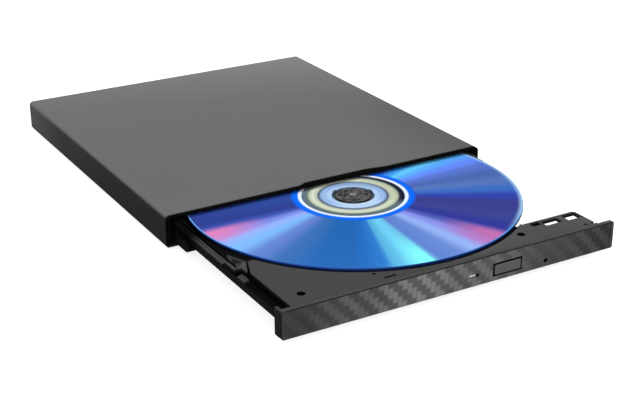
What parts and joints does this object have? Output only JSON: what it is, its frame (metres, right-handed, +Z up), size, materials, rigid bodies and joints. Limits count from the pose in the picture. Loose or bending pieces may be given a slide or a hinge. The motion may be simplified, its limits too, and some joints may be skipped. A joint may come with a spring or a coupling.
{
  "type": "external optical drive",
  "caption": "Slim external disc drive: flat rectangular case, pull-out tray with a disc on a sprung hub, twill front bezel, eject button and hidden pickup mechanism.",
  "frame": {"origin": "centre of the case footprint on the plane the four feet stand on, 0.7 mm below the base underside, with the tray 78.7 mm out", "axes": "+Z up, +X to the right seen from the front, the tray opens toward -Y"},
  "size_m": [0.1316, 0.2229, 0.0124],
  "materials": {
    "cover_satin": "satin grey coat with a fine texture",
    "case_black": "fine matt",
    "feet_rubber": "matt",
    "screw_black": "black oxide",
    "circuit_board": "solder mask",
    "chip_black": "moulded",
    "connector_metal": "plated",
    "connector_black": "moulded",
    "pan_steel": "galvanised sheet",
    "pan_black": "black-coated sheet",
    "screw_steel": "plated",
    "pin_steel": "turned",
    "guide_plastic": "low friction moulding",
    "ribbon_white": "film",
    "rail_black": "low friction moulding",
    "tray_plastic": "fine spark texture",
    "bezel_twill": "twill weave pattern under a satin coat",
    "indicator_clear": "clear light pipe",
    "solenoid_body": "plated",
    "window_plate_black": "black coat",
    "damper_rubber": "matt",
    "rod_steel": "ground",
    "motor_can": "plated",
    "stator_copper": "enamelled winding",
    "hub_dark": "moulded",
    "claw_plastic": "moulded",
    "disc_mirror": "iridescent recording layer under clear plastic",
    "lead_brass": "rolled",
    "sled_metal": "die cast",
    "diode_brass": "plated",
    "yoke_steel": "plated",
    "holder_black": "moulded",
    "lens_glass": "coated",
    "button_dark": "satin",
    "lever_plastic": "low friction moulding"
  },
  "bodies": {
    "housing": {"top_cover": "cover_satin", "base_shell": "case_black", "rubber_feet": "feet_rubber", "case_screws": "screw_black", "drive_screws": "screw_black", "bridge_board": "circuit_board", "bridge_chips": "chip_black", "usb_socket": "connector_metal", "sata_receptacle": "connector_black", "drive_chassis": "pan_black", "drive_top_shield": "pan_black", "shield_screws": "screw_steel", "catch_pin": "pin_steel", "guide_channel_left": "guide_plastic", "guide_channel_right": "guide_plastic", "main_board": "circuit_board", "main_board_chips": "chip_black", "sata_plug": "connector_black", "ejector_guide": "guide_plastic", "ribbon_cable": "ribbon_white"},
    "slide_left": {"rail_left": "rail_black"},
    "slide_right": {"rail_right": "rail_black"},
    "tray": {"tray": "tray_plastic", "bezel": "bezel_twill", "led_window": "indicator_clear", "front_board": "circuit_board", "tact_switch": "connector_metal", "tray_connector": "connector_black", "tray_undercover": "pan_steel", "undercover_screws": "screw_steel", "latch_solenoid": "solenoid_body", "latch_pin": "pin_steel", "pickup_window_plate": "window_plate_black", "traverse_plate": "pan_steel", "damper_bushes": "damper_rubber", "damper_screws": "screw_steel", "guide_rod_main": "rod_steel", "guide_rod_sub": "rod_steel", "rod_clips": "guide_plastic", "feed_motor": "motor_can", "screw_bearing": "guide_plastic", "spindle_base": "pan_steel", "spindle_stator": "stator_copper"},
    "rotor": {"spindle_rotor": "motor_can", "spindle_shaft": "rod_steel", "disc_hub": "hub_dark", "hub_claws": "claw_plastic", "optical_disc": "disc_mirror"},
    "lead_screw": {"lead_screw": "lead_brass"},
    "pickup": {"pickup_sled": "sled_metal", "laser_diode": "diode_brass", "screw_follower": "claw_plastic", "actuator_yoke": "yoke_steel"},
    "lens": {"lens_holder": "holder_black", "objective_lens": "lens_glass"},
    "button": {"eject_button": "button_dark"},
    "latch": {"latch_lever": "lever_plastic"},
    "plunger": {"latch_plunger": "pin_steel"},
    "ejector": {"ejector_slider": "lever_plastic"}
  },
  "joints": [
    {"name": "tray_slide", "type": "slide", "parent": "housing", "child": "tray", "axis": [0, -1, 0], "range_m": [-0.0787, 0.0373], "deforming": ["ribbon_cable"]},
    {"name": "rail_left_slide", "type": "slide", "parent": "housing", "child": "slide_left", "axis": [0, -1, 0], "range_m": [-0.02756, 0.01308]},
    {"name": "rail_right_slide", "type": "slide", "parent": "housing", "child": "slide_right", "axis": [0, -1, 0], "range_m": [-0.02756, 0.01308]},
    {"name": "spindle_spin", "type": "hinge", "parent": "tray", "child": "rotor", "pos_m": [0.0012, -0.0843, 0.0094], "axis": [0, 0, 1], "continuous": true},
    {"name": "pickup_slide", "type": "slide", "parent": "tray", "child": "pickup", "axis": [-0.6428, -0.766, 0], "range_m": [-0.012, 0.0225]},
    {"name": "lead_screw_spin", "type": "hinge", "parent": "tray", "child": "lead_screw", "pos_m": [-0.01182, -0.07337, 0.0044], "axis": [-0.6428, -0.766, 0], "range_deg": [-2701, 1441]},
    {"name": "lens_focus", "type": "slide", "parent": "pickup", "child": "lens", "axis": [0, 0, 1], "range_m": [-0.0004, 0.0004]},
    {"name": "eject_button_press", "type": "slide", "parent": "tray", "child": "button", "axis": [0, 1, 0], "range_m": [0, 0.0005]},
    {"name": "latch_pivot", "type": "hinge", "parent": "tray", "child": "latch", "pos_m": [0.05, -0.1439, 0.0036], "axis": [0, 0, 1], "range_deg": [0, 17]},
    {"name": "plunger_slide", "type": "slide", "parent": "tray", "child": "plunger", "axis": [0, 1, 0], "range_m": [-0.00261, 0]},
    {"name": "ejector_push", "type": "slide", "parent": "housing", "child": "ejector", "axis": [0, 1, 0], "range_m": [0, 0.008]}
  ],
  "couplings": [
    {"joint": "rail_left_slide", "follows": "tray_slide", "ratio": 0.35},
    {"joint": "rail_right_slide", "follows": "tray_slide", "ratio": 0.35},
    {"joint": "lead_screw_spin", "follows": "pickup_slide", "rad_per_m": -2094.4},
    {"joint": "latch_pivot", "follows": "plunger_slide", "rad_per_m": -113.64}
  ]
}
